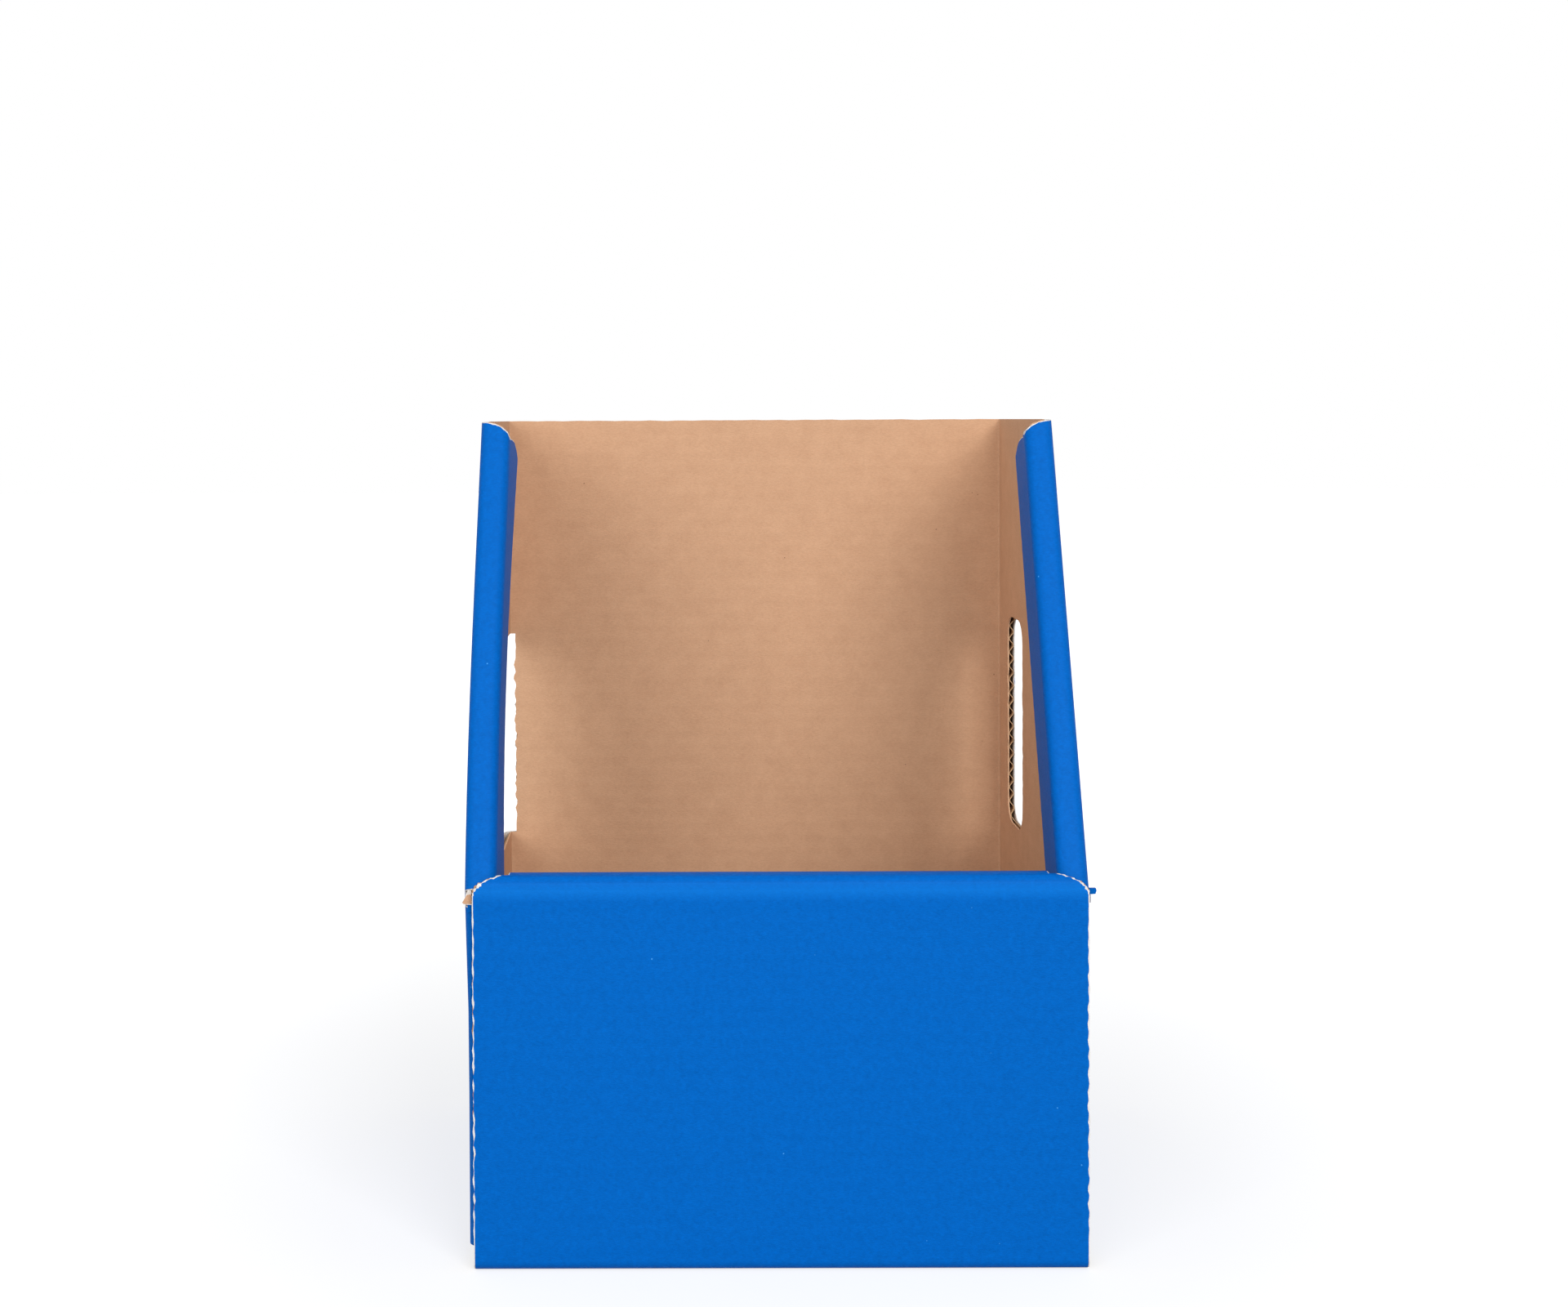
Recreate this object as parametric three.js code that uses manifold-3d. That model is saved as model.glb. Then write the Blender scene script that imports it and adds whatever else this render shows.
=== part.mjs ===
// A counter-top brochure holder, folded from one die-cut sheet of corrugated board.
// Millimetres, +Z up, the low front faces -Y. The origin is the middle of the
// footprint, on the surface that the holder stands on.
//
// The sheet, from the middle of its blank outwards:
//   back panel, with a side panel folded off each upright edge;
//   base, off the back panel's foot, then the front panel, off the base's front;
//   the front's roll: a narrow top strip and an inner front panel with two lock tabs;
//   on each side panel: an ear trapped in the front's roll, a floor flap on the base,
//   and, along the sloping edge, a hem of a narrow strip and a panel turned back inside;
//   a slot across each back corner.

import * as THREE from 'three';
import { mergeVertices } from 'three/addons/utils/BufferGeometryUtils.js';
import Module from 'manifold-3d';

// The board
const boardThickness = 1.7;
const foldInsideRadius = 0.4;
const layerGap = 0.3;
const arcSteps = 6;

// The holder's main sizes
const overallWidth = 116.4;
const overallDepth = 95;
const backHeight = 158.5;
const frontHeight = 74;
const frontPanelWidth = 115.2;
const sideTopLength = 57;

// The front's roll
const rollWidth = 101;
const frontCornerDrop = 3.5;
const lockTabWidth = 22;
const lockTabSpacing = 56;
const lockTabTaper = 2;

// The side panels' ears, floor flaps and corner nubs
const earLength = 30;
const earCornerCut = 8;
const floorFlapLength = 34;
const floorFlapCornerCut = 9;
const nubHeight = 1.4;
const reliefCut = 0.5;
const slantFootBelowFront = 2.9;

// The hems on the sloping edges
const hemWidth = 6;
const hemReach = 20;
const hemStripDrop = 3.5;
const hemPanelDrop = 10.5;

// The slots across the back corners
const slotBottom = 66.5;
const slotHeight = 46;
const slotLength = 31;
const slotWrap = 2.9;
const slotCornerRadius = 5;

// How far joined shapes run into each other, and how far cutting shapes run past the board
const lap = 1;
const past = 5;

// Faces and middles of the layers, worked out from the sizes above
const foldReach = boardThickness + foldInsideRadius;
const layerPitch = boardThickness + layerGap;

const sideOuterX = overallWidth / 2;
const sideMiddleX = sideOuterX - boardThickness / 2;
const sideInnerX = sideOuterX - boardThickness;
const frontEdgeX = frontPanelWidth / 2;
const rollEdgeX = rollWidth / 2;

const backOuterY = overallDepth / 2;
const backMiddleY = backOuterY - boardThickness / 2;
const frontOuterY = -overallDepth / 2;
const frontMiddleY = frontOuterY + boardThickness / 2;
const earOuterY = frontOuterY + layerPitch;
const earMiddleY = earOuterY + boardThickness / 2;
const innerFrontMiddleY = earMiddleY + layerPitch;
const innerFrontRearY = innerFrontMiddleY + boardThickness / 2;

const baseMiddleZ = boardThickness / 2;
const sideFootZ = layerPitch;
const flapMiddleZ = sideFootZ + boardThickness / 2;
const flapTopZ = sideFootZ + boardThickness;
const rollMiddleZ = frontHeight - boardThickness / 2;

// The sloping edge, as a point at its foot and a direction up it
const slantFoot = new THREE.Vector2(earOuterY, frontHeight - slantFootBelowFront);
const slantTop = new THREE.Vector2(backOuterY - sideTopLength, backHeight);
const slantLength = slantTop.distanceTo(slantFoot);
const upSlant = slantTop.clone().sub(slantFoot).normalize();
const intoSide = new THREE.Vector2(upSlant.y, -upSlant.x);
const hemPanelWidth = hemReach * intoSide.x;

const wasm = await Module();
wasm.setup();

// Turns a closed geometry into a solid that can be joined and cut.
function solidFrom(geometry) {
  geometry.deleteAttribute('normal');
  geometry.deleteAttribute('uv');
  const merged = mergeVertices(geometry, 1e-5);
  return new wasm.Manifold(new wasm.Mesh({
    numProp: 3,
    vertProperties: new Float32Array(merged.attributes.position.array),
    triVerts: new Uint32Array(merged.index.array),
  }));
}

// Extrudes an outline by length, with its two axes and its start placed in space.
function prism(outline, length, horizontal, vertical, start) {
  const geometry = new THREE.ExtrudeGeometry(outline, {
    depth: length,
    bevelEnabled: false,
    curveSegments: arcSteps,
  });
  const along = new THREE.Vector3().crossVectors(horizontal, vertical);
  const placement = new THREE.Matrix4().makeBasis(horizontal, vertical, along);
  placement.setPosition(start);
  return solidFrom(geometry.applyMatrix4(placement));
}

const xAxis = new THREE.Vector3(1, 0, 0);
const yAxis = new THREE.Vector3(0, 1, 0);
const zAxis = new THREE.Vector3(0, 0, 1);

// An outline seen from the side (Y, Z), running from x = left to x = right.
function seenFromSide(outline, left, right) {
  return prism(outline, right - left, yAxis, zAxis, new THREE.Vector3(left, 0, 0));
}

// An outline seen from above (X, Y), running from z = bottom to z = top.
function seenFromAbove(outline, bottom, top) {
  return prism(outline, top - bottom, xAxis, yAxis, new THREE.Vector3(0, 0, bottom));
}

// An outline seen from the front (X, Z), running from y = front to y = rear.
function seenFromFront(outline, front, rear) {
  return prism(outline, rear - front, xAxis, zAxis, new THREE.Vector3(0, rear, 0));
}

// A block between two corners, given in any order.
function block(cornerA, cornerB) {
  const low = new THREE.Vector3(...cornerA).min(new THREE.Vector3(...cornerB));
  const high = new THREE.Vector3(...cornerA).max(new THREE.Vector3(...cornerB));
  const size = high.clone().sub(low);
  const middle = low.add(high).multiplyScalar(0.5);
  const geometry = new THREE.BoxGeometry(size.x, size.y, size.z);
  return solidFrom(geometry.translate(middle.x, middle.y, middle.z));
}

// The board seen on its edge. The route is the sheet's middle line with square
// corners, and each corner becomes a fold with the same inside radius.
function foldedBoard(route) {
  const half = boardThickness / 2;
  const middleRadius = foldInsideRadius + half;
  const points = route.map(([a, b]) => new THREE.Vector2(a, b));
  const leftFace = [];
  const rightFace = [];
  const addPair = (point, leftward) => {
    leftFace.push(point.clone().addScaledVector(leftward, half));
    rightFace.push(point.clone().addScaledVector(leftward, -half));
  };
  const leftOf = (direction) => new THREE.Vector2(-direction.y, direction.x);

  const first = points[1].clone().sub(points[0]).normalize();
  addPair(points[0], leftOf(first));
  for (let i = 1; i < points.length - 1; i += 1) {
    const incoming = points[i].clone().sub(points[i - 1]).normalize();
    const outgoing = points[i + 1].clone().sub(points[i]).normalize();
    const turn = Math.atan2(incoming.cross(outgoing), incoming.dot(outgoing));
    const tangent = middleRadius * Math.tan(Math.abs(turn) / 2);
    const start = points[i].clone().addScaledVector(incoming, -tangent);
    const toCentre = leftOf(incoming).multiplyScalar(Math.sign(turn));
    const centre = start.clone().addScaledVector(toCentre, middleRadius);
    for (let step = 0; step <= arcSteps; step += 1) {
      const angle = turn * step / arcSteps;
      const spoke = toCentre.clone().negate().rotateAround(new THREE.Vector2(), angle);
      const onMiddle = centre.clone().addScaledVector(spoke, middleRadius);
      addPair(onMiddle, spoke.clone().multiplyScalar(-Math.sign(turn)));
    }
  }
  const last = points.at(-1).clone().sub(points.at(-2)).normalize();
  addPair(points.at(-1), leftOf(last));
  return new THREE.Shape([...leftFace, ...rightFace.reverse()]);
}

// The side panel as the die cuts it, seen from the side, without its hem. The
// floor flap's fold takes up the long notch in its lower edge.
const flapFrontY = innerFrontRearY + layerGap;
const flapRearY = backOuterY - foldReach - layerGap;

function sidePanelOutline() {
  const hemFold = slantFoot.clone().addScaledVector(intoSide, foldReach);
  const hemFoldTop = hemFold.clone().addScaledVector(upSlant, slantLength + past);
  const notchTop = sideFootZ + foldReach;
  const outline = new THREE.Shape();
  outline.moveTo(frontOuterY, sideFootZ);
  outline.lineTo(flapFrontY - reliefCut, sideFootZ);
  outline.lineTo(flapFrontY - reliefCut, notchTop);
  outline.lineTo(flapRearY + reliefCut, notchTop);
  outline.lineTo(flapRearY + reliefCut, sideFootZ);
  outline.lineTo(backOuterY + past, sideFootZ);
  outline.lineTo(backOuterY + past, hemFoldTop.y);
  outline.lineTo(hemFoldTop.x, hemFoldTop.y);
  outline.lineTo(hemFold.x, hemFold.y);
  outline.lineTo(hemFold.x, earTopZ);
  outline.lineTo(frontOuterY, earTopZ);
  return outline;
}

// The ears end below the corner nubs, which stay unfolded between ear and hem.
const nubTopZ = slantFoot.y - reliefCut - foldReach * upSlant.x;
const nubFootZ = nubTopZ - nubHeight;
const earTopZ = nubFootZ - reliefCut;

// Back panel, side panels and ears, in one run of board seen from above.
function wrapAround() {
  const earTipX = sideOuterX - earLength;
  const route = foldedBoard([
    [-earTipX, earMiddleY],
    [-sideMiddleX, earMiddleY],
    [-sideMiddleX, backMiddleY],
    [sideMiddleX, backMiddleY],
    [sideMiddleX, earMiddleY],
    [earTipX, earMiddleY],
  ]);
  const run = seenFromAbove(route, sideFootZ, backHeight);
  const sides = seenFromSide(sidePanelOutline(), -sideOuterX - past, sideOuterX + past);
  const backFootX = sideOuterX - foldReach + reliefCut;
  const backFoot = block(
    [-backFootX, backOuterY - foldReach, 0],
    [backFootX, backOuterY + past, foldReach + reliefCut],
  );
  let wrap = run.intersect(sides).subtract(backFoot);
  for (const side of [-1, 1]) {
    wrap = wrap.add(cornerNub(side)).subtract(earCorner(side)).add(floorFlap(side));
  }
  return wrap;
}

// The small unfolded corner of the side panel, between its ear and its hem.
function cornerNub(side) {
  return block(
    [side * sideOuterX, earOuterY, nubFootZ],
    [side * sideInnerX, earOuterY + foldReach + lap, nubTopZ],
  );
}

// What the die takes off the free lower corner of an ear, to clear the floor flap.
function earCorner(side) {
  const tipX = side * (sideOuterX - earLength);
  const cut = new THREE.Shape();
  cut.moveTo(tipX - side * past, sideFootZ - past);
  cut.lineTo(tipX + side * (earCornerCut + past), sideFootZ - past);
  cut.lineTo(tipX - side * past, sideFootZ + earCornerCut + past);
  return seenFromFront(cut, frontOuterY - past, innerFrontRearY);
}

// The flap at a side panel's foot, folded inwards to lie on the base.
function floorFlap(side) {
  const tipX = sideOuterX - floorFlapLength;
  const profile = foldedBoard([
    [side * sideMiddleX, sideFootZ + foldReach + lap],
    [side * sideMiddleX, flapMiddleZ],
    [side * tipX, flapMiddleZ],
  ]);
  const plan = new THREE.Shape();
  plan.moveTo(side * (sideOuterX + past), flapFrontY);
  plan.lineTo(side * (tipX + floorFlapCornerCut), flapFrontY);
  plan.lineTo(side * (tipX - lap), flapFrontY + floorFlapCornerCut);
  plan.lineTo(side * (tipX - lap), flapRearY - floorFlapCornerCut);
  plan.lineTo(side * (tipX + floorFlapCornerCut), flapRearY);
  plan.lineTo(side * (sideOuterX + past), flapRearY);
  const run = seenFromFront(profile, flapFrontY - lap, flapRearY + lap);
  return run.intersect(seenFromAbove(plan, 0, sideFootZ + foldReach + past));
}

// Base, front panel, top strip and inner front panel, in one run seen from the side.
function baseAndFront() {
  const innerFrontFootZ = sideFootZ;
  const route = foldedBoard([
    [backMiddleY, foldReach + reliefCut + lap],
    [backMiddleY, baseMiddleZ],
    [frontMiddleY, baseMiddleZ],
    [frontMiddleY, rollMiddleZ],
    [innerFrontMiddleY, rollMiddleZ],
    [innerFrontMiddleY, innerFrontFootZ],
  ]);
  let run = seenFromSide(route, -frontEdgeX, frontEdgeX);
  for (const side of [-1, 1]) {
    run = run.subtract(rollEnd(side)).subtract(frontCorner(side)).subtract(baseCorner(side));
  }
  for (const tabX of [-lockTabSpacing / 2, lockTabSpacing / 2]) {
    run = run.subtract(lockSlot(tabX)).add(lockTab(tabX));
  }
  return run;
}

// What the die takes off beside the narrower top strip and inner front panel.
function rollEnd(side) {
  return block(
    [side * rollEdgeX, earOuterY - layerGap / 2, boardThickness + layerGap / 2],
    [side * (frontEdgeX + past), innerFrontRearY + past, frontHeight + past],
  );
}

// What the die takes off above the front panel's rounded corner.
function frontCorner(side) {
  const cornerZ = frontHeight - frontCornerDrop;
  const cut = new THREE.Shape();
  cut.moveTo(side * rollEdgeX, frontHeight + past);
  for (let step = 0; step <= arcSteps; step += 1) {
    const angle = Math.PI / 2 * step / arcSteps;
    const x = rollEdgeX + (frontEdgeX - rollEdgeX) * Math.sin(angle);
    const z = cornerZ + frontCornerDrop * Math.cos(angle);
    cut.lineTo(side * x, z);
  }
  cut.lineTo(side * (frontEdgeX + past), cornerZ);
  cut.lineTo(side * (frontEdgeX + past), frontHeight + past);
  return seenFromFront(cut, frontOuterY - past, earOuterY);
}

// The base stops short of the back corner's upright fold.
function baseCorner(side) {
  return block(
    [side * (sideOuterX - foldReach), backOuterY - foldReach, -past],
    [side * (frontEdgeX + past), backOuterY + past, foldReach + past],
  );
}

// A tab at the foot of the inner front panel, standing in its slot in the base.
function lockTab(tabX) {
  const half = lockTabWidth / 2;
  const tab = new THREE.Shape();
  tab.moveTo(tabX - half, sideFootZ + lap);
  tab.lineTo(tabX - half, sideFootZ);
  tab.lineTo(tabX - half + lockTabTaper, layerGap);
  tab.lineTo(tabX + half - lockTabTaper, layerGap);
  tab.lineTo(tabX + half, sideFootZ);
  tab.lineTo(tabX + half, sideFootZ + lap);
  return seenFromFront(tab, innerFrontRearY - boardThickness, innerFrontRearY);
}

function lockSlot(tabX) {
  const halfSlot = lockTabWidth / 2 + layerGap;
  return block(
    [tabX - halfSlot, innerFrontRearY - boardThickness - layerGap, -past],
    [tabX + halfSlot, innerFrontRearY + layerGap, boardThickness + layerGap / 2],
  );
}

// A hem: a strip facing forwards along the sloping edge, then a panel turned back
// inside. Drawn square to the sloping edge and run up along it.
function hem(side) {
  const innerMiddleX = sideOuterX - hemWidth + boardThickness / 2;
  const profile = foldedBoard([
    [side * sideMiddleX, foldReach + lap],
    [side * sideMiddleX, boardThickness / 2],
    [side * innerMiddleX, boardThickness / 2],
    [side * innerMiddleX, hemPanelWidth],
  ]);
  const inward = new THREE.Vector3(0, intoSide.x, intoSide.y);
  const foot = new THREE.Vector3(0, slantFoot.x, slantFoot.y);
  const run = prism(profile, slantLength + past, xAxis, inward, foot);
  const aboveTop = block(
    [-sideOuterX - past, frontOuterY, backHeight],
    [sideOuterX + past, backOuterY, backHeight + hemReach + past],
  );
  return run.subtract(aboveTop).subtract(hemStripEnd(side)).subtract(hemPanelEnd(side));
}

// The round cut at the hem's top end drops along an arc, first across the strip,
// seen from the front.
function hemStripEnd(side) {
  const innerX = sideOuterX - hemWidth;
  const cut = new THREE.Shape();
  cut.moveTo(side * sideOuterX, backHeight + past);
  for (let step = 0; step <= arcSteps; step += 1) {
    const share = step / arcSteps;
    const drop = hemStripDrop * (1 - Math.sqrt(1 - share ** 2));
    cut.lineTo(side * (sideOuterX - hemWidth * share), backHeight - drop);
  }
  cut.lineTo(side * (innerX - past), backHeight - hemStripDrop);
  cut.lineTo(side * (innerX - past), backHeight + past);
  return seenFromFront(cut, slantFoot.x - past, backOuterY);
}

// Then the arc goes on across the turned panel, seen from the side.
function hemPanelEnd(side) {
  const startY = slantTop.x;
  const startZ = backHeight - hemStripDrop;
  const cut = new THREE.Shape();
  cut.moveTo(startY - past, backHeight + past);
  cut.lineTo(startY - past, startZ);
  for (let step = 0; step <= arcSteps; step += 1) {
    const angle = Math.PI / 2 * step / arcSteps;
    const y = startY + hemReach * Math.sin(angle);
    const z = startZ - hemPanelDrop * (1 - Math.cos(angle));
    cut.lineTo(y, z);
  }
  cut.lineTo(startY + hemReach + past, startZ - hemPanelDrop);
  cut.lineTo(startY + hemReach + past, backHeight + past);
  const inner = side * (sideOuterX - hemWidth - past);
  const outer = side * (sideOuterX - hemWidth + boardThickness + foldInsideRadius / 2);
  return seenFromSide(cut, Math.min(inner, outer), Math.max(inner, outer));
}

// A slot with round corners across the upright fold at a back corner.
function cornerSlot(side) {
  const frontY = backOuterY - slotLength;
  const rearY = backOuterY + slotCornerRadius / 2;
  const top = slotBottom + slotHeight;
  const r = slotCornerRadius;
  const cut = new THREE.Shape();
  cut.moveTo(frontY + r, slotBottom);
  cut.lineTo(rearY - r, slotBottom);
  cut.absarc(rearY - r, slotBottom + r, r, -Math.PI / 2, 0);
  cut.absarc(rearY - r, top - r, r, 0, Math.PI / 2);
  cut.absarc(frontY + r, top - r, r, Math.PI / 2, Math.PI);
  cut.absarc(frontY + r, slotBottom + r, r, Math.PI, Math.PI * 1.5);
  const inner = side * (sideOuterX - slotWrap);
  const outer = side * (sideOuterX + past);
  const acrossFold = seenFromSide(cut, Math.min(inner, outer), Math.max(inner, outer));
  const innerFace = side * (sideInnerX - layerGap);
  const sideOnly = seenFromSide(cut, Math.min(innerFace, outer), Math.max(innerFace, outer))
    .intersect(block(
      [-sideOuterX - past, frontY - past, slotBottom],
      [sideOuterX + past, backOuterY - foldReach, top],
    ));
  return acrossFold.add(sideOnly);
}

// The whole sheet
let sheet = wrapAround().add(baseAndFront());
for (const side of [-1, 1]) {
  sheet = sheet.add(hem(side)).subtract(cornerSlot(side));
}

const printedBoard = new THREE.MeshStandardMaterial({
  color: new THREE.Color(0x0a67c4),
  roughness: 0.6,
  metalness: 0,
});

function meshFrom(solid, material, name) {
  const { vertProperties, triVerts, numProp } = solid.getMesh();
  const geometry = new THREE.BufferGeometry();
  const positions = new Float32Array(vertProperties.length / numProp * 3);
  for (let i = 0; i < positions.length / 3; i += 1) {
    positions.set(vertProperties.subarray(i * numProp, i * numProp + 3), i * 3);
  }
  geometry.setAttribute('position', new THREE.BufferAttribute(positions, 3));
  geometry.setIndex(Array.from(triVerts));
  geometry.computeVertexNormals();
  const mesh = new THREE.Mesh(geometry, material);
  mesh.name = name;
  return mesh;
}

const holder = new THREE.Group();
holder.add(meshFrom(sheet, printedBoard, 'folded_sheet'));

export default holder;
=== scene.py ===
"""Looks of the folded brochure holder: printed liner, kraft liner and fluted core.

The sheet is modelled in millimetres, layer by layer, and scaled to metres at the end.
"""
import math

import bmesh
import bpy
from mathutils import Matrix, Vector, noise


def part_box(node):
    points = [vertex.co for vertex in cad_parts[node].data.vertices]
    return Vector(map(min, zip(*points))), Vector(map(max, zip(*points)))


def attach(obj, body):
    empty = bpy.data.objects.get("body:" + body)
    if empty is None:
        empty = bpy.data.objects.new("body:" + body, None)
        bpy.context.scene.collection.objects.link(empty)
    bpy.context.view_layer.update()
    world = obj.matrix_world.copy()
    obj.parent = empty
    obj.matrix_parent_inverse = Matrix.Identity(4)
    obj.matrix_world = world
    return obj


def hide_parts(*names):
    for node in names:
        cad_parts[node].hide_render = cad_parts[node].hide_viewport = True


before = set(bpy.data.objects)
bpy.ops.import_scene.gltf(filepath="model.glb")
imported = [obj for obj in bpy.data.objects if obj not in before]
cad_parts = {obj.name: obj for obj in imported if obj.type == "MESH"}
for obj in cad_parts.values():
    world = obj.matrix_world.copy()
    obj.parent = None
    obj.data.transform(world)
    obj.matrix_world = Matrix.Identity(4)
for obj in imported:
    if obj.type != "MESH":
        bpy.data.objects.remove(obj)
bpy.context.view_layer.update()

# Sizes of the sheet, in millimetres. FOLD is the outside radius of a fold, PITCH the step
# from one layer of board to the next, ROLL_X half the width of the inner front, and a drop
# how far an edge falls at its rounded end. SLOT_WASTE is the part of the right slot's rear
# that is still closed.
LOW, HIGH = (Vector(corner) * 1000 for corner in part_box("folded_sheet"))
BOARD = 1.7
FOLD = 2.1
GAP = 0.3
PITCH = BOARD + GAP
HEIGHT = HIGH.z
SIDE_X = HIGH.x
BACK_Y = HIGH.y
FRONT_Y = LOW.y
FRONT_HEIGHT = 74.0
FRONT_X = 57.6
ROLL_X = 50.5
CORNER_DROP = 3.5
EAR_Y = FRONT_Y + PITCH
INNER_FRONT_REAR = FRONT_Y + 3 * BOARD + 2 * GAP
EAR_LENGTH = 30.0
FLAP_LENGTH = 34.0
SIDE_TOP_LENGTH = 57.0
SLANT_FOOT_Z = FRONT_HEIGHT - 2.9
HEM_WIDTH = 6.0
HEM_REACH = 20.0
HEM_SPLAY = {-1: 0.8, 1: 1.6}
HEM_STRIP_DROP = 3.5
HEM_PANEL_DROP = 10.5
SLOT_BOTTOM, SLOT_HEIGHT, SLOT_LENGTH = 66.5, 46.0, 31.0
SLOT_WRAP, SLOT_RADIUS = 2.9, 5.0
SLOT_WASTE = 12.5
SLOT_SHIFT = {-1: -3.0, 1: 2.0}
SLOT_WEAR = 2.5
SEAM_Z = FOLD + 0.5
LEFT_EDGE_WEAR = 0.4
NUB_HEIGHT = 1.4
RELIEF = 0.5
TAB_WIDTH, TAB_SPACING = 22.0, 56.0
FLAP_CORNER = 9.0
FLUTE = 3.05
PRINT_DEPTH = 0.06
LINER = 0.28

FOOT = Vector((0, EAR_Y, SLANT_FOOT_Z))
TOP = Vector((0, BACK_Y - SIDE_TOP_LENGTH, HEIGHT))
UP_SLANT = (TOP - FOOT).normalized()
INTO_SIDE = Vector((0, UP_SLANT.z, -UP_SLANT.y))
SLANT_LENGTH = (TOP - FOOT).length
NUB_TOP = SLANT_FOOT_Z - RELIEF - FOLD * UP_SLANT.y
EAR_TOP = NUB_TOP - NUB_HEIGHT - RELIEF

# Where cutters end, well clear of the sheet on every side
PAST = 4
CLEAR_X, CLEAR_Y, CLEAR_TOP, CLEAR_BOTTOM = 75, 60, 190, -5

# The left side bows outwards above this height, by up to this much along its front
# edge and by this much more along the free edge of its hem
BELLY_FOOT = 45
BELLY_AT_FRONT, BELLY_AT_HEM = 1.0, 1.2

# The longest edge that the fluted core keeps before its flutes are pressed in
CORE_STEP = 0.66


# Small helpers for modelling by hand

def deselect():
    """Leaves nothing selected and the editor in object mode."""
    if bpy.context.object and bpy.context.object.mode != "OBJECT":
        bpy.ops.object.mode_set(mode="OBJECT")
    bpy.ops.object.select_all(action="DESELECT")


def activate(piece):
    """Makes one object the selected and active one."""
    deselect()
    piece.select_set(True)
    bpy.context.view_layer.objects.active = piece


def pick(piece, kind, wanted):
    """Selects, in edit mode, the vertices, edges or faces that wanted() names."""
    settings = bpy.context.tool_settings
    settings.mesh_select_mode = (kind == "verts", kind == "edges", kind == "faces")
    bpy.ops.mesh.select_all(action="DESELECT")
    shape = bmesh.from_edit_mesh(piece.data)
    for part in getattr(shape, kind):
        if wanted(part):
            part.select_set(True)
    shape.select_flush_mode()
    bmesh.update_edit_mesh(piece.data)


def finish_modifiers(piece):
    """Applies every modifier of a piece."""
    activate(piece)
    for modifier in list(piece.modifiers):
        bpy.ops.object.modifier_apply(modifier=modifier.name)


def chain(name, points, along):
    """A run of points extruded along a direction, as an open sheet."""
    deselect()
    bpy.ops.mesh.primitive_plane_add(size=1, location=(0, 0, 0))
    piece = bpy.context.object
    piece.name = name
    bpy.ops.object.mode_set(mode="EDIT")
    bpy.context.tool_settings.mesh_select_mode = (True, False, False)
    bpy.ops.mesh.select_all(action="SELECT")
    bpy.ops.mesh.merge(type="CENTER")
    bpy.ops.transform.translate(value=Vector(points[0]))
    for here, following in zip(points, points[1:]):
        step = Vector(following) - Vector(here)
        bpy.ops.mesh.extrude_region_move(TRANSFORM_OT_translate={"value": step})
    bpy.ops.mesh.select_all(action="SELECT")
    bpy.ops.mesh.extrude_region_move(TRANSFORM_OT_translate={"value": Vector(along)})
    return piece


def folded_run(name, corners, along, outward, bands=0):
    """An open sheet with a rounded fold at each inner corner, its printed side outwards.

    outward is a point near the sheet and the way that its printed side faces there, and
    bands is how many cuts go across the folds, for a sheet that is bowed later.
    """
    piece = chain(name, corners, along)
    direction = Vector(along).normalized()
    folds = [Vector(corner) for corner in corners[1:-1]]

    def at_fold(edge):
        line = edge.verts[1].co - edge.verts[0].co
        if abs(line.normalized().dot(direction)) < 0.99:
            return False
        offsets = (edge.verts[0].co - fold for fold in folds)
        return any((gap - direction * gap.dot(direction)).length < 0.01 for gap in offsets)

    if folds:
        pick(piece, "edges", at_fold)
        bpy.ops.mesh.bevel(offset=FOLD, segments=6, profile=0.5, affect="EDGES")
    if bands:
        def along_fold(edge):
            line = edge.verts[1].co - edge.verts[0].co
            return abs(line.normalized().dot(direction)) > 0.99

        pick(piece, "edges", along_fold)
        bpy.ops.mesh.subdivide(number_cuts=bands)
    bpy.ops.mesh.select_all(action="SELECT")
    bpy.ops.mesh.normals_make_consistent(inside=False)
    point, facing = outward
    shape = bmesh.from_edit_mesh(piece.data)
    nearest = min(shape.faces,
                  key=lambda face: (face.calc_center_median() - Vector(point)).length)
    if nearest.normal.dot(Vector(facing)) < 0:
        bpy.ops.mesh.select_all(action="SELECT")
        bpy.ops.mesh.flip_normals()
    bpy.ops.object.mode_set(mode="OBJECT")
    return piece


def copy_of(piece, name):
    """A second object with a mesh of its own."""
    twin = piece.copy()
    twin.data = piece.data.copy()
    twin.name = name
    bpy.context.collection.objects.link(twin)
    return twin


def prism(name, outline, along):
    """A closed block: an outline of points, filled and extruded."""
    piece = chain(name, [*outline, outline[0]], along)
    bpy.ops.mesh.select_all(action="SELECT")
    bpy.ops.mesh.remove_doubles(threshold=0.0005)
    direction = Vector(along).normalized()
    start = Vector(outline[0]).dot(direction)
    for level in (start, start + Vector(along).length):
        pick(piece, "edges", lambda edge: all(
            abs(vert.co.dot(direction) - level) < 0.001 for vert in edge.verts))
        bpy.ops.mesh.edge_face_add()
    bpy.ops.mesh.select_all(action="SELECT")
    bpy.ops.mesh.normals_make_consistent(inside=False)
    bpy.ops.object.mode_set(mode="OBJECT")
    return piece


def crate(low, high):
    """A plain block between two corners, as an outline and a direction for prism()."""
    x0, y0, z0 = (min(a, b) for a, b in zip(low, high))
    x1, y1, z1 = (max(a, b) for a, b in zip(low, high))
    return [(x0, y0, z0), (x1, y0, z0), (x1, y0, z1), (x0, y0, z1)], (0, y1 - y0, 0)


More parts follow.
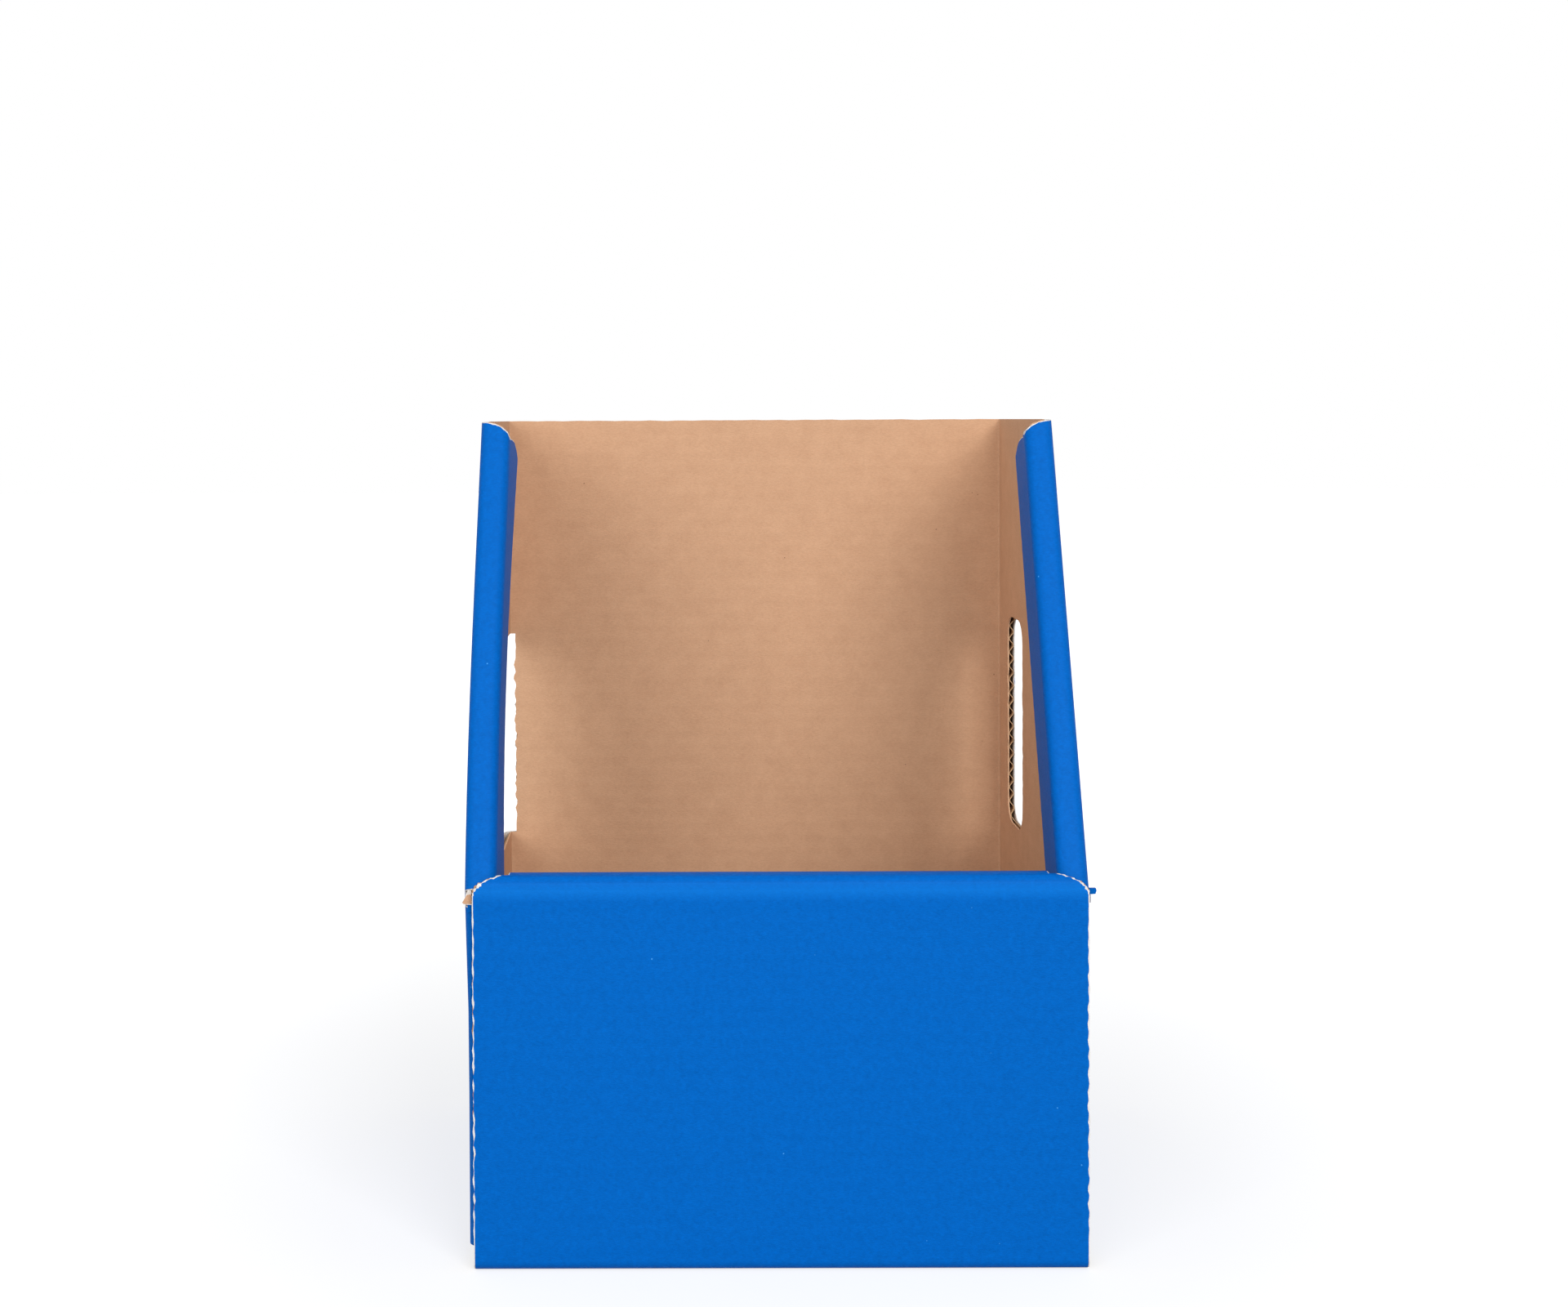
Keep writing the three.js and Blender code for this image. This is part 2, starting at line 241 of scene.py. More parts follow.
def ragged(start, end, push, seed, amount, step=0.8):
    """Points from start to end, worn in and out along push as a die-cut edge is."""
    start, end, push = Vector(start), Vector(end), Vector(push)
    count = max(2, round((end - start).length / step))
    points = []
    for i in range(count + 1):
        share = i / count
        wear = noise.noise(Vector((share * count * 0.45, seed * 7.3, 1.7)))
        teeth = math.sin(share * (end - start).length * math.tau / FLUTE + seed)
        fade = min(1.0, 6 * share, 6 * (1 - share))
        points.append(start.lerp(end, share) + push * amount * fade * (wear * 1.3 + teeth * 0.45))
    return points


def side_of(side, outline, thickness_x):
    """The same outline in the plane of a side panel, with the run along x."""
    low, high = thickness_x
    x = min(side * low, side * high)
    return [(x, y, z) for _, y, z in outline], (abs(high - low), 0, 0)


# The cuts that the die makes. Each takes how far it bites further into its layer,
# how ragged it is, and a seed, because the layers don't tear alike.

def slot_corner(y, z, start, steps):
    """Points round one corner of a slot, from its centre and its first angle in degrees."""
    angles = [math.radians(start + step) for step in steps]
    return [Vector((0, y + SLOT_RADIUS * math.cos(angle), z + SLOT_RADIUS * math.sin(angle)))
            for angle in angles]


def slot_cut(side, bite, amount, seed):
    """The slot in a side panel. The left one goes on round the back corner."""
    front = BACK_Y - SLOT_LENGTH - bite
    rear = BACK_Y + SLOT_RADIUS / 2 if side < 0 else BACK_Y - SLOT_WASTE + bite
    low = SLOT_BOTTOM + SLOT_SHIFT[side] - bite
    high = low + SLOT_HEIGHT + 2 * bite
    r = SLOT_RADIUS
    wear = SLOT_WEAR * amount
    points = ragged((0, front, high - r), (0, front, low + r), (0, 1, 0), seed, wear)
    points += slot_corner(front + r, low + r, 180, (22, 45, 68, 90))
    points += slot_corner(rear - r, low + r, 270, (0, 22, 45, 68, 90))
    points += ragged((0, rear, low + r), (0, rear, high - r), (0, 1, 0), seed + 4, wear)[1:-1]
    points += slot_corner(rear - r, high - r, 0, (0, 22, 45, 68, 90))
    points += slot_corner(front + r, high - r, 90, (0, 22, 45, 68))
    return side_of(side, points, (SIDE_X - FOLD, SIDE_X + PAST))


def slot_round_corner(bite, amount, seed):
    """The part of the left slot that goes round the corner, torn along the back panel."""
    low = SLOT_BOTTOM + SLOT_SHIFT[-1] - bite
    high = low + SLOT_HEIGHT + 2 * bite
    edge = -(SIDE_X - SLOT_WRAP - bite)
    y = BACK_Y - FOLD - 0.3
    points = ragged((edge, y, low), (edge, y, high), (1, 0, 0), seed, SLOT_WEAR * amount)
    points += [Vector((-SIDE_X - PAST, y, high)), Vector((-SIDE_X - PAST, y, low))]
    return points, (0, 6, 0)


def wrap_cuts(bite, amount, seed):
    """What the die takes off the run of ears, side panels and back panel."""
    cuts = []
    x = 70
    level = HEIGHT - bite
    top = ragged((-x, 0, level), (x, 0, level), (0, 0, -1), seed, amount * 0.5, 2.0)
    outline = [Vector((point.x, -CLEAR_Y, point.z)) for point in top]
    outline += [Vector((x, -CLEAR_Y, 175)), Vector((-x, -CLEAR_Y, 175))]
    cuts.append((outline, (0, 2 * CLEAR_Y, 0)))
    cuts.append(crate((-x, BACK_Y - FOLD - 0.001, CLEAR_BOTTOM), (x, CLEAR_Y, SEAM_Z)))
    cuts.append(crate((-x, -CLEAR_Y, CLEAR_BOTTOM), (x, BACK_Y - FOLD + 3, PITCH + FOLD)))
    seam_low = FOOT + INTO_SIDE * FOLD
    seam_high = seam_low + UP_SLANT * (SLANT_LENGTH + 12)
    for side in (-1, 1):
        front_region = [
            seam_low,
            seam_high,
            Vector((0, -75, seam_high.z)),
            Vector((0, -75, EAR_TOP - bite)),
            Vector((0, seam_low.y, EAR_TOP - bite)),
        ]
        cuts.append(side_of(side, front_region, (10, SIDE_X + PAST)))
        cuts.append(slot_cut(side, bite, amount, seed + side))
    cuts.append(slot_round_corner(bite, amount, seed + 2))
    return cuts


def front_cuts(bite, amount, seed):
    """What the die takes off the run of base, front panel, top strip and inner front."""
    cuts = []
    roll = ROLL_X - bite
    for side in (-1, 1):
        edge = FRONT_X - bite - (LEFT_EDGE_WEAR if side < 0 else 0.0)
        wear = (side, 0, 0)
        corner_z = FRONT_HEIGHT - CORNER_DROP
        points = ragged((side * edge, 0, 3), (side * edge, 0, corner_z), wear, seed + side, amount)
        steps = 24
        for step in range(1, steps + 1):
            angle = math.pi / 2 * step / steps
            x = roll + (edge - roll) * math.cos(angle)
            z = corner_z - bite * math.cos(angle) + (CORNER_DROP + 0.02) * math.sin(angle)
            fade = min(1.0, (steps - step) / 4)
            jag = amount * 1.3 * fade * noise.noise(Vector((step * 0.8, seed + side * 3.1, 0.4)))
            points.append(Vector((side * (x + jag), 0, z + jag)))
        far_x = side * CLEAR_X
        above = 90
        points += [Vector((side * roll, 0, above)),
                   Vector((far_x, 0, above)),
                   Vector((far_x, 0, 3))]
        outline = [Vector((point.x, -CLEAR_Y, point.z)) for point in points]
        cuts.append((outline, (0, EAR_Y - GAP / 2 + CLEAR_Y, 0)))
        cuts.append(crate((side * roll, EAR_Y - GAP / 2 - 0.001, BOARD + GAP / 2),
                          (far_x, INNER_FRONT_REAR + 3, above)))
        cuts.append(crate((side * edge, -CLEAR_Y, CLEAR_BOTTOM), (far_x, CLEAR_Y, 3.001)))
        cuts.append(crate((side * (SIDE_X - FOLD), BACK_Y - FOLD, CLEAR_BOTTOM),
                          (far_x, CLEAR_Y, 10)))
    for tab_x in (-TAB_SPACING / 2, TAB_SPACING / 2):
        half = TAB_WIDTH / 2 + GAP
        cuts.append(crate((tab_x - half, INNER_FRONT_REAR - BOARD - GAP, CLEAR_BOTTOM),
                          (tab_x + half, INNER_FRONT_REAR + GAP, BOARD + GAP / 2)))
    return cuts


def hem_cuts(side, bite, amount, seed):
    """What the die takes off a hem: the round top end, the square foot and the free edge."""
    cuts = [crate((-CLEAR_X, -CLEAR_Y, HEIGHT - bite), (CLEAR_X, CLEAR_Y, CLEAR_TOP))]
    inner_x = SIDE_X - HEM_WIDTH
    seam_low = FOOT + INTO_SIDE * FOLD - UP_SLANT * 12
    seam_high = FOOT + INTO_SIDE * FOLD + UP_SLANT * (SLANT_LENGTH + 20)
    beyond = [seam_low, seam_high, seam_high + INTO_SIDE * 9, seam_low + INTO_SIDE * 9]
    cuts.append(side_of(side, beyond, (SIDE_X - BOARD - 0.8, SIDE_X + PAST)))
    steps = 12
    top = HEIGHT - bite
    low = top - HEM_STRIP_DROP
    clear_of_panel = side * (inner_x - 3)
    across_panel = (inner_x - 3, inner_x + BOARD + 2.2)
    strip = []
    for step in range(steps + 1):
        share = step / steps
        drop = HEM_STRIP_DROP * (1 - math.sqrt(1 - share * share))
        jag = amount * noise.noise(Vector((step * 0.8, seed, 2.2))) * min(1, share * 4)
        x = side * (SIDE_X - HEM_WIDTH * share)
        strip.append(Vector((x, -CLEAR_Y, top - drop + jag)))
    strip += [Vector((clear_of_panel, -CLEAR_Y, low)),
              Vector((clear_of_panel, -CLEAR_Y, CLEAR_TOP)),
              Vector((side * SIDE_X, -CLEAR_Y, CLEAR_TOP))]
    cuts.append((strip, (0, 2 * CLEAR_Y, 0)))
    start = TOP.y + BOARD + 0.1
    panel = [Vector((0, start, CLEAR_TOP))]
    for step in range(steps + 1):
        angle = math.pi / 2 * step / steps
        jag = amount * noise.noise(Vector((step * 0.8, seed, 5.2))) * min(1, step / 3)
        y = start + (HEM_REACH - BOARD) * math.sin(angle)
        z = low - HEM_PANEL_DROP * (1 - math.cos(angle))
        panel.append(Vector((0, y, z + jag)))
    behind = TOP.y + HEM_REACH + 8
    panel += [Vector((0, behind, low - HEM_PANEL_DROP)), Vector((0, behind, CLEAR_TOP))]
    cuts.append(side_of(side, panel, across_panel))
    reach = HEM_REACH * INTO_SIDE.y - bite
    free_low = FOOT + INTO_SIDE * reach - UP_SLANT * 5
    free_high = FOOT + INTO_SIDE * reach + UP_SLANT * (SLANT_LENGTH + 12)
    edge = ragged(free_low, free_high, INTO_SIDE, seed, amount)
    edge += [free_high + INTO_SIDE * 12, free_low + INTO_SIDE * 12]
    cuts.append(side_of(side, edge, across_panel))
    foot_low = FOOT + UP_SLANT * bite - INTO_SIDE * 3
    foot_high = foot_low + INTO_SIDE * 40
    below = [foot_low, foot_high, foot_high - UP_SLANT * 12, foot_low - UP_SLANT * 12]
    cuts.append(side_of(side, below, (inner_x - 3, SIDE_X + PAST)))
    return cuts


def flap_cuts(side, bite, amount, seed):
    """What the die takes off a floor flap: its two slanted corners and its ends."""
    tip = SIDE_X - FLAP_LENGTH
    front = INNER_FRONT_REAR + GAP
    rear = BACK_Y - FOLD - GAP
    cuts = [crate((side * 70, -70, PITCH + FOLD), (side * (SIDE_X - 5), 70, 20))]
    z, up = -2, (0, 0, 20)
    for end, way in ((front, -1), (rear, 1)):
        slope_end = end - way * (FLAP_CORNER + 6 + bite)
        points = [Vector((side * (tip + FLAP_CORNER), end - way * bite, z)),
                  Vector((side * (tip - 6), slope_end, z)),
                  Vector((side * (tip - 6), end + way * 40, z)),
                  Vector((side * CLEAR_X, end + way * 40, z)),
                  Vector((side * CLEAR_X, end - way * bite, z))]
        cuts.append((points, up))
    edge = side * (tip + bite)
    points = ragged((edge, -65, z), (edge, 65, z), (1, 0, 0), seed, amount)
    points += [Vector((edge - side * 8, 65, z)), Vector((edge - side * 8, -65, z))]
    cuts.append((points, up))
    return cuts


# The layers of the board: depth of the layer's outer face (of its middle, for the core),
# its thickness, how far its raw edges stand back, how ragged they are, and their seed.
LAYERS = {
    "print": (0.0, PRINT_DEPTH, 0.27, 0.2, 3),
    "white": (PRINT_DEPTH, LINER - PRINT_DEPTH, 0.07, 0.18, 5),
    "core": (BOARD / 2, 0.16, 0.12, 0.1, 8),
    "kraft": (BOARD - LINER, LINER, -0.03, 0.18, 11),
}


def blank_height(run, co):
    """Where a point lay across the flutes while the sheet was flat."""
    if run == "front":
        if co.z < FOLD:
            return -co.y
        if co.z > FRONT_HEIGHT - FOLD:
            return FRONT_Y + co.y
        return co.z if co.y < EAR_Y else -co.z
    if run.startswith("hem"):
        from_foot = co - FOOT
        along = from_foot.dot(UP_SLANT)
        side = 1 if co.x > 0 else -1
        across = (SIDE_X - side * co.x) + max(0.0, from_foot.dot(INTO_SIDE))
        return along * UP_SLANT.z + across * UP_SLANT.y
    if run.startswith("flap"):
        return co.y
    return co.z


def ripple(piece, run):
    """Presses the flutes into the core layer."""
    activate(piece)
    bpy.ops.object.mode_set(mode="EDIT")

    def long_across(edge):
        line = edge.verts[1].co - edge.verts[0].co
        if run == "wrap":
            return abs(line.z) > 0.9 * line.length
        if run == "front":
            return abs(line.x) < 0.1 * line.length
        if run.startswith("flap"):
            return abs(line.y) > 0.9 * line.length
        return True

    for _ in range(9):
        pick(piece, "edges", lambda edge: long_across(edge) and edge.calc_length() > CORE_STEP)
        shape = bmesh.from_edit_mesh(piece.data)
        if not any(edge.select for edge in shape.edges):
            break
        bpy.ops.mesh.subdivide(number_cuts=1)
    bpy.ops.object.mode_set(mode="OBJECT")
    normals = [vert.normal.copy() for vert in piece.data.vertices]
    for vert, normal in zip(piece.data.vertices, normals):
        wave = math.sin(blank_height(run, vert.co) * math.tau / FLUTE)
        vert.co = vert.co + normal * wave * (BOARD / 2 - LINER - 0.1)


def belly(run, co):
    """How far the left side panel and its hem bow outwards at a point."""
    if run not in ("wrap", "hem-1") or co.x > -45 or co.z < BELLY_FOOT:
        return 0.0
    rise = math.sin(math.pi * min(1.0, (co.z - BELLY_FOOT) / (HEIGHT - BELLY_FOOT)))
    ahead = (BACK_Y - co.y) / (BACK_Y - FRONT_Y)
    turned = 0.0
    if run == "hem-1":
        turned = max(0.0, (co - FOOT).dot(INTO_SIDE) - FOLD) / HEM_REACH
    return rise * (BELLY_AT_FRONT * ahead + BELLY_AT_HEM * turned)


def layer_of(base, run, name, cuts_for):
    """One layer of a run: set in to its depth, given its thickness and cut out."""
    depth, thickness, bite, amount, seed = LAYERS[name]
    piece = copy_of(base, f"{run}_{name}")
    activate(piece)
    if depth:
        bpy.ops.object.mode_set(mode="EDIT")
        bpy.ops.mesh.select_all(action="SELECT")
        bpy.ops.transform.shrink_fatten(value=-depth, use_even_offset=True)
        bpy.ops.object.mode_set(mode="OBJECT")
    if name == "core":
        ripple(piece, run)
    solid = piece.modifiers.new("thickness", "SOLIDIFY")
    solid.thickness = thickness
    solid.offset = 0 if name == "core" else -1
    solid.use_even_offset = True
    finish_modifiers(piece)
    for outline, along in cuts_for(bite, amount, seed):
        cutter = prism("cutter", outline, along)
        cut = piece.modifiers.new("cut", "BOOLEAN")
        cut.operation = "DIFFERENCE"
        cut.solver = "EXACT"
        cut.object = cutter
        finish_modifiers(piece)
        spent = cutter.data
        bpy.data.objects.remove(cutter)
        bpy.data.meshes.remove(spent)
    for vert in piece.data.vertices:
        vert.co.x -= belly(run, vert.co)
    return piece


def join(pieces, name):
    """Joins objects into one with a name."""
    deselect()
    for piece in pieces:
        piece.select_set(True)
    bpy.context.view_layer.objects.active = pieces[0]
    bpy.ops.object.join()
    joined = bpy.context.object
    joined.name = name
    joined.data.name = name
    return joined


# The runs of board, each an open sheet that follows the printed face

def wrap_sheet():
    """Ears, side panels and back panel."""
    tip = SIDE_X - EAR_LENGTH
    corners = [(-tip, EAR_Y, 0), (-SIDE_X, EAR_Y, 0), (-SIDE_X, BACK_Y, 0),
               (SIDE_X, BACK_Y, 0), (SIDE_X, EAR_Y, 0), (tip, EAR_Y, 0)]
    outward = ((0, BACK_Y, HEIGHT / 2), (0, 1, 0))
    return folded_run("wrap", corners, (0, 0, HEIGHT + 2), outward, bands=9)


def front_sheet():
    """Back fold, base, front panel, top strip and inner front panel."""
    x = -FRONT_X - 2
    corners = [(x, BACK_Y, SEAM_Z), (x, BACK_Y, 0), (x, FRONT_Y, 0), (x, FRONT_Y, FRONT_HEIGHT),
               (x, INNER_FRONT_REAR, FRONT_HEIGHT), (x, INNER_FRONT_REAR, PITCH)]
    return folded_run("front", corners, (-2 * x, 0, 0), ((0, 0, 0), (0, 0, -1)))


def hem_sheet(side):
    """The strip along a sloping edge and the panel turned back inside."""
    start = FOOT - UP_SLANT * 2
    inner_x = side * (SIDE_X - HEM_WIDTH)
    outer = start + Vector((side * SIDE_X, 0, 0))
    inner = start + Vector((inner_x, 0, 0))
    splay = Vector((HEM_SPLAY[side], 0, 0))
    corners = [outer + INTO_SIDE * (FOLD + 4), outer, inner, inner + INTO_SIDE * 24 + splay]
    middle = (FOOT + TOP) / 2 + Vector((side * (SIDE_X - HEM_WIDTH / 2), 0, 0))
    along = UP_SLANT * (SLANT_LENGTH + 10)
    return folded_run(f"hem{side}", corners, along, (middle, -INTO_SIDE), bands=9)


def flap_sheet(side):
    """The flap at a side panel's foot, lying on the base."""
    corners = [(side * SIDE_X, -60, PITCH + FOLD + 4), (side * SIDE_X, -60, PITCH),
               (side * (SIDE_X - FLAP_LENGTH - 4), -60, PITCH)]
    return folded_run(f"flap{side}", corners, (0, 120, 0),
                      ((side * (SIDE_X - 20), 0, PITCH), (0, 0, -1)))


runs = [("wrap", wrap_sheet(), wrap_cuts), ("front", front_sheet(), front_cuts)]
for side in (-1, 1):
    runs.append((f"hem{side}", hem_sheet(side),
                 lambda bite, amount, seed, s=side: hem_cuts(s, bite, amount, seed + s)))
    runs.append((f"flap{side}", flap_sheet(side),
                 lambda bite, amount, seed, s=side: flap_cuts(s, bite, amount, seed + s)))

layers = {name: [] for name in LAYERS}
for run, base, cuts_for in runs:
    for name in LAYERS:
        layers[name].append(layer_of(base, run, name, cuts_for))
    bpy.data.objects.remove(base)

# Small pieces of the same board: torn tips at the corner nubs, the nubs, and the lock tabs
layers["kraft"].append(prism("torn_tip_left", [
    (-57.3, EAR_Y - 0.5, 68.7), (-57.4, EAR_Y - 0.5, 70.4), (-58.2, EAR_Y - 0.5, 70.3),
    (-59.1, EAR_Y - 0.5, 68.8), (-58.5, EAR_Y - 0.5, 68.6)], (0, 0.8, 0)))
layers["white"].append(prism("torn_rim_left", [
    (-57.3, EAR_Y - 0.4, 68.4), (-57.4, EAR_Y - 0.4, 71.0), (-58.0, EAR_Y - 0.4, 71.3),
    (-58.4, EAR_Y - 0.4, 70.3), (-58.9, EAR_Y - 0.4, 68.5)], (0, 0.5, 0)))
layers["print"].append(prism("torn_print_left", [
    (-57.2, EAR_Y - 0.2, 66.9), (-57.2, EAR_Y - 0.2, 68.7), (-58.1, EAR_Y - 0.2, 68.8),
    (-58.15, EAR_Y - 0.2, 66.9)], (0, 0.5, 0)))
layers["print"].append(prism("bent_tip_right", [
    (57.8, EAR_Y - 0.3, 70.0), (57.8, EAR_Y - 0.3, 71.1), (59.1, EAR_Y - 0.3, 71.1),
    (59.2, EAR_Y - 0.3, 70.7), (59.0, EAR_Y - 0.3, 70.1)], (0, 0.8, 0)))
for side in (-1, 1):
    for name, (depth, thickness, _, _, _) in LAYERS.items():
        outer = SIDE_X - depth
        low = (side * outer, EAR_Y, NUB_TOP - NUB_HEIGHT)
        high = (side * (outer - thickness), EAR_Y + FOLD, NUB_TOP)
        layers[name].append(prism(f"nub{side}_{name}", *crate(low, high)))
for tab_x in (-TAB_SPACING / 2, TAB_SPACING / 2):
    for name, (depth, thickness, _, _, _) in LAYERS.items():
        rear = INNER_FRONT_REAR - depth
        low = (tab_x - TAB_WIDTH / 2, rear - thickness, GAP)
        high = (tab_x + TAB_WIDTH / 2, rear, PITCH)
        layers[name].append(prism(f"tab{tab_x:.0f}_{name}", *crate(low, high)))


# Materials

def colour_of(red, green, blue):
    """A colour given in the display's 0 to 255 steps, as Blender's linear one."""
    def linear(step):
        share = step / 255
        return share / 12.92 if share <= 0.04045 else ((share + 0.055) / 1.055) ** 2.4
    return (linear(red), linear(green), linear(blue), 1.0)


def new_material(name, roughness):
    """A material with its Principled shader, ready for colour and bump."""
    material = bpy.data.materials.new(name)
    material.use_nodes = True
    shader = material.node_tree.nodes["Principled BSDF"]
    shader.inputs["Roughness"].default_value = roughness
    return material, material.node_tree, shader


def paper_group():
    """Cloudy tone, fine tooth and fibre flecks that any liner paper shows."""
    group = bpy.data.node_groups.new("paper", "ShaderNodeTree")
    socket = group.interface.new_socket
    socket("Light", in_out="INPUT", socket_type="NodeSocketColor")
    socket("Dark", in_out="INPUT", socket_type="NodeSocketColor")
    socket("Cloud size", in_out="INPUT", socket_type="NodeSocketFloat")
    socket("Fibre contrast", in_out="INPUT", socket_type="NodeSocketFloat")
    socket("Speck", in_out="INPUT", socket_type="NodeSocketColor")
    socket("Colour", in_out="OUTPUT", socket_type="NodeSocketColor")
    socket("Height", in_out="OUTPUT", socket_type="NodeSocketFloat")
    nodes, link = group.nodes, group.links.new
    inputs, outputs = nodes.new("NodeGroupInput"), nodes.new("NodeGroupOutput")
    place = nodes.new("ShaderNodeTexCoord")
    cloud = nodes.new("ShaderNodeTexNoise")
    cloud.inputs["Detail"].default_value = 4.0
    link(place.outputs["Object"], cloud.inputs["Vector"])
    link(inputs.outputs["Cloud size"], cloud.inputs["Scale"])
    stretch = nodes.new("ShaderNodeMapping")
    stretch.inputs["Scale"].default_value = (1.0, 1.0, 3.5)
    link(place.outputs["Object"], stretch.inputs["Vector"])
    fibre = nodes.new("ShaderNodeTexNoise")
    fibre.inputs["Scale"].default_value = 1500.0
    fibre.inputs["Detail"].default_value = 6.0
    fibre.inputs["Roughness"].default_value = 0.7
    link(stretch.outputs["Vector"], fibre.inputs["Vector"])
    both = nodes.new("ShaderNodeMix")
    both.data_type = "FLOAT"
    link(inputs.outputs["Fibre contrast"], both.inputs["Factor"])
    link(cloud.outputs["Fac"], both.inputs[2])
    link(fibre.outputs["Fac"], both.inputs[3])
    spread = nodes.new("ShaderNodeMapRange")
    spread.inputs["From Min"].default_value = 0.3
    spread.inputs["From Max"].default_value = 0.7
    link(both.outputs[0], spread.inputs["Value"])
    tone = nodes.new("ShaderNodeMix")
    tone.data_type = "RGBA"
    link(spread.outputs["Result"], tone.inputs["Factor"])
    link(inputs.outputs["Dark"], tone.inputs[6])
    link(inputs.outputs["Light"], tone.inputs[7])
    dots = nodes.new("ShaderNodeTexVoronoi")
    dots.inputs["Scale"].default_value = 170.0
    link(place.outputs["Object"], dots.inputs["Vector"])
    dot = nodes.new("ShaderNodeMapRange")
    dot.inputs["From Min"].default_value = 0.03
    dot.inputs["From Max"].default_value = 0.015
    link(dots.outputs["Distance"], dot.inputs["Value"])
    flecked = nodes.new("ShaderNodeMix")
    flecked.data_type = "RGBA"
    link(dot.outputs["Result"], flecked.inputs["Factor"])
    link(tone.outputs[2], flecked.inputs[6])
    link(inputs.outputs["Speck"], flecked.inputs[7])
    link(flecked.outputs[2], outputs.inputs["Colour"])
    link(fibre.outputs["Fac"], outputs.inputs["Height"])
    return group


def washboard(tree, strength):
    """The faint ridges that the flutes print through the liner, as a height."""
    place = tree.nodes.new("ShaderNodeTexCoord")
    bands = tree.nodes.new("ShaderNodeTexWave")
    bands.wave_type = "BANDS"
    bands.bands_direction = "Z"
    bands.inputs["Scale"].default_value = math.tau / 20 / (FLUTE / 1000)
    bands.inputs["Distortion"].default_value = 0.6
    tree.links.new(place.outputs["Object"], bands.inputs["Vector"])
    scaled = tree.nodes.new("ShaderNodeMath")
    scaled.operation = "MULTIPLY"
    scaled.inputs[1].default_value = strength
    tree.links.new(bands.outputs["Fac"], scaled.inputs[0])
    return scaled.outputs[0]


PAPER = paper_group()


def paper_material(name, light, dark, speck, roughness, cloud, contrast, tooth, ridges):
    """A liner paper with its own tones, tooth and washboard.

    cloud is the scale of its cloudy tone, contrast the share of fibre in it, and tooth and
    ridges the strength of its bump and of the flutes that show through.
    """
    material, tree, shader = new_material(name, roughness)
    paper = tree.nodes.new("ShaderNodeGroup")
    paper.node_tree = PAPER
    paper.inputs["Light"].default_value = light
    paper.inputs["Dark"].default_value = dark
    paper.inputs["Speck"].default_value = speck
    paper.inputs["Cloud size"].default_value = cloud
    paper.inputs["Fibre contrast"].default_value = contrast
    tree.links.new(paper.outputs["Colour"], shader.inputs["Base Color"])
    height = tree.nodes.new("ShaderNodeMath")
    height.operation = "ADD"
    tree.links.new(paper.outputs["Height"], height.inputs[0])
    tree.links.new(washboard(tree, ridges), height.inputs[1])
    bump = tree.nodes.new("ShaderNodeBump")
    bump.inputs["Strength"].default_value = tooth
    bump.inputs["Distance"].default_value = 0.00015
    tree.links.new(height.outputs[0], bump.inputs["Height"])
    tree.links.new(bump.outputs["Normal"], shader.inputs["Normal"])
    return material


def painted_crease_highlight(material, colour):
    """A painted highlight: a lighter line across the front, just under its rolled top, where the
    fold meets the light.
    """
    tree = material.node_tree
    shader = tree.nodes["Principled BSDF"]
    before = shader.inputs["Base Color"].links[0].from_socket
    place = tree.nodes.new("ShaderNodeTexCoord")
    split = tree.nodes.new("ShaderNodeSeparateXYZ")
    tree.links.new(place.outputs["Object"], split.inputs["Vector"])
    off_line = tree.nodes.new("ShaderNodeMath")
    off_line.operation = "SUBTRACT"
    off_line.inputs[1].default_value = (FRONT_HEIGHT - 2.7) / 1000
    tree.links.new(split.outputs["Z"], off_line.inputs[0])
    distance = tree.nodes.new("ShaderNodeMath")
    distance.operation = "ABSOLUTE"
    tree.links.new(off_line.outputs[0], distance.inputs[0])
    line = tree.nodes.new("ShaderNodeMapRange")
    line.inputs["From Min"].default_value = 0.002
    line.inputs["From Max"].default_value = 0.0
    line.inputs["To Max"].default_value = 0.42
    tree.links.new(distance.outputs[0], line.inputs["Value"])
    on_front = tree.nodes.new("ShaderNodeMath")
    on_front.operation = "LESS_THAN"
    on_front.inputs[1].default_value = (FRONT_Y + 0.2) / 1000
    tree.links.new(split.outputs["Y"], on_front.inputs[0])
    mask = tree.nodes.new("ShaderNodeMath")
    mask.operation = "MULTIPLY"
    tree.links.new(line.outputs["Result"], mask.inputs[0])
    tree.links.new(on_front.outputs[0], mask.inputs[1])
    # Mixes the painted highlight's lighter blue into the print along the crease line.
    highlight_mix = tree.nodes.new("ShaderNodeMix")
    highlight_mix.data_type = "RGBA"
    highlight_mix.inputs[7].default_value = colour
    tree.links.new(mask.outputs[0], highlight_mix.inputs["Factor"])
    tree.links.new(before, highlight_mix.inputs[6])
    tree.links.new(highlight_mix.outputs[2], shader.inputs["Base Color"])


BLUE = paper_material(
    "blue_print", light=colour_of(0, 108, 206), dark=colour_of(0, 90, 174),
    speck=colour_of(70, 160, 235), roughness=0.5, cloud=900.0, contrast=0.7, tooth=0.35, ridges=0.3)
BLUE.node_tree.nodes["Principled BSDF"].inputs["Specular IOR Level"].default_value = 0.045
# Painted highlight: a lighter blue line under the front's rolled top stands in for light on the
# fold.
painted_crease_highlight(BLUE, colour_of(20, 132, 232))
WHITE = paper_material(
    "white_liner", light=colour_of(245, 243, 240), dark=colour_of(214, 205, 196),
    speck=colour_of(190, 170, 150), roughness=0.8, cloud=400.0, contrast=0.5, tooth=0.3, ridges=0.0)
CORE = paper_material(
    "fluted_core", light=colour_of(205, 168, 128), dark=colour_of(160, 118, 80),
    speck=colour_of(120, 86, 58), roughness=0.85, cloud=300.0, contrast=0.6, tooth=0.4, ridges=0.0)
